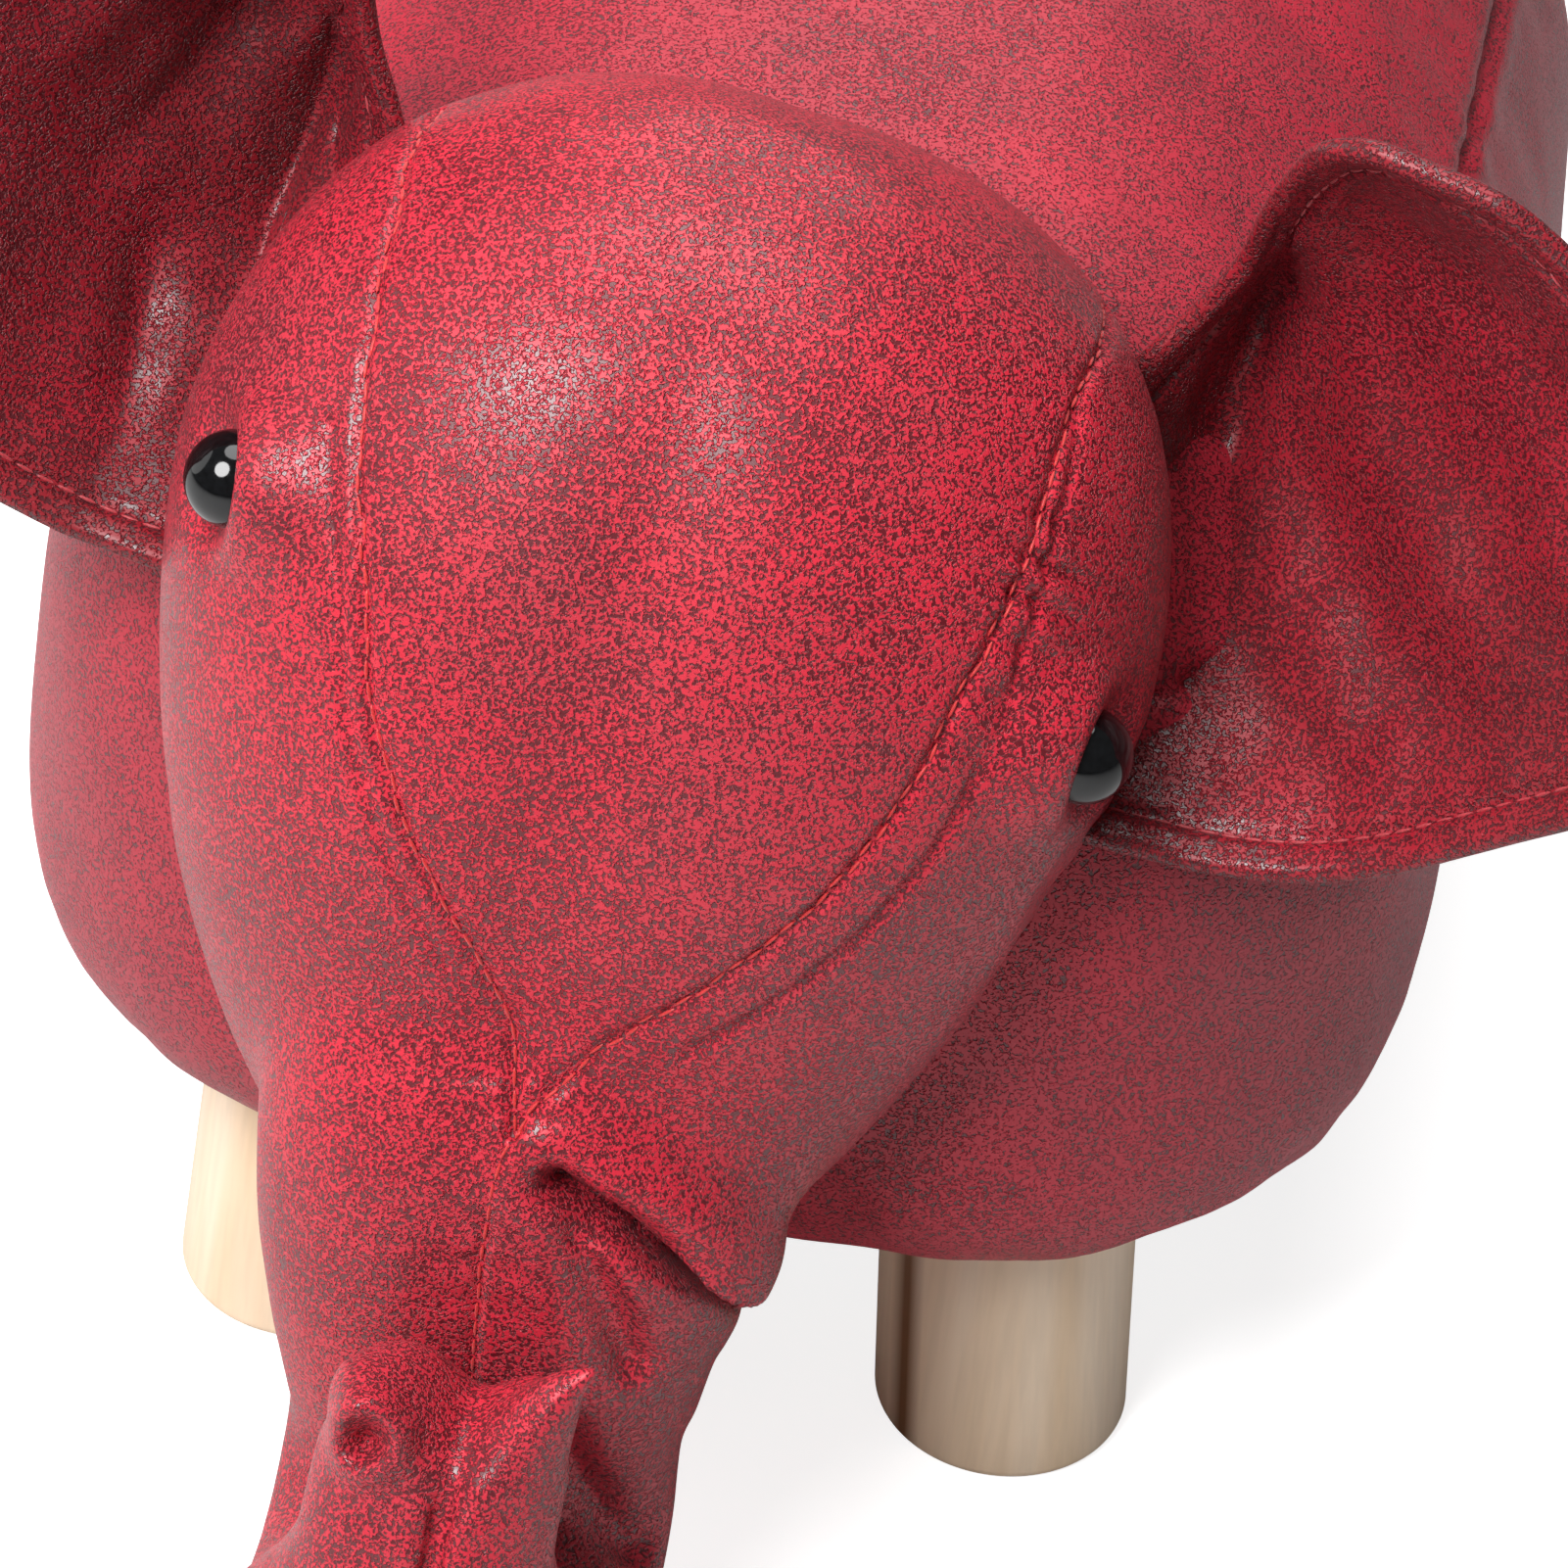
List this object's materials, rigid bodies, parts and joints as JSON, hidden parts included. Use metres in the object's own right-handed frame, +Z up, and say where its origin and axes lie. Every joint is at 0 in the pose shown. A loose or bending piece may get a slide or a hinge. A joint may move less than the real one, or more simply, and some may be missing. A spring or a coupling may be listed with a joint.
{
  "type": "animal footstool",
  "caption": "Elephant-shaped upholstered footstool with a padded seat, stuffed head, curled trunk, floppy ears and turned wooden legs.",
  "frame": {"origin": "on the floor, under the middle of the whole object's box", "axes": "+Z up, -Y the way the animal faces, +X its left side"},
  "size_m": [0.3756, 0.5328, 0.3457],
  "materials": {
    "red_faux_leather": "worn satin",
    "pale_wood": "satin",
    "plywood": "raw",
    "steel": "zinc plated",
    "foam": "open cell",
    "fibre_fill": "fluffy",
    "dust_cloth": "non-woven",
    "black_plastic": "gloss",
    "white_plastic": "matte"
  },
  "bodies": {
    "stool": {"seat_cover": "red_faux_leather", "side_cover": "red_faux_leather", "forehead_panel": "red_faux_leather", "left_cheek_panel": "red_faux_leather", "right_cheek_panel": "red_faux_leather", "trunk_left_panel": "red_faux_leather", "trunk_right_panel": "red_faux_leather", "front_left_leg": "pale_wood", "front_right_leg": "pale_wood", "rear_left_leg": "pale_wood", "rear_right_leg": "pale_wood", "base_board": "plywood", "top_board": "plywood", "front_rail": "plywood", "rear_rail": "plywood", "left_rail": "plywood", "right_rail": "plywood", "frame_screws": "steel", "leg_bolts": "steel", "leg_tee_nuts": "steel", "seat_foam": "foam", "side_padding": "foam", "head_stuffing": "fibre_fill", "trunk_stuffing": "fibre_fill", "dust_cover": "dust_cloth", "left_eye": "black_plastic", "right_eye": "black_plastic", "left_eye_washer": "white_plastic", "right_eye_washer": "white_plastic"},
    "left_ear": {"left_ear_front": "red_faux_leather", "left_ear_back": "red_faux_leather"},
    "right_ear": {"right_ear_front": "red_faux_leather", "right_ear_back": "red_faux_leather"}
  },
  "joints": [
    {"name": "left_ear_flap", "type": "hinge", "parent": "stool", "child": "left_ear", "pos_m": [0.07897, -0.1133, 0.2277], "axis": [0.0398, -0.6195, -0.784], "range_deg": [-5, 16], "stiffness_Nm_per_rad": 2},
    {"name": "right_ear_flap", "type": "hinge", "parent": "stool", "child": "right_ear", "pos_m": [-0.08749, -0.10749, 0.24963], "axis": [0.2836, 0.6082, 0.7414], "range_deg": [-5, 16], "stiffness_Nm_per_rad": 2}
  ]
}
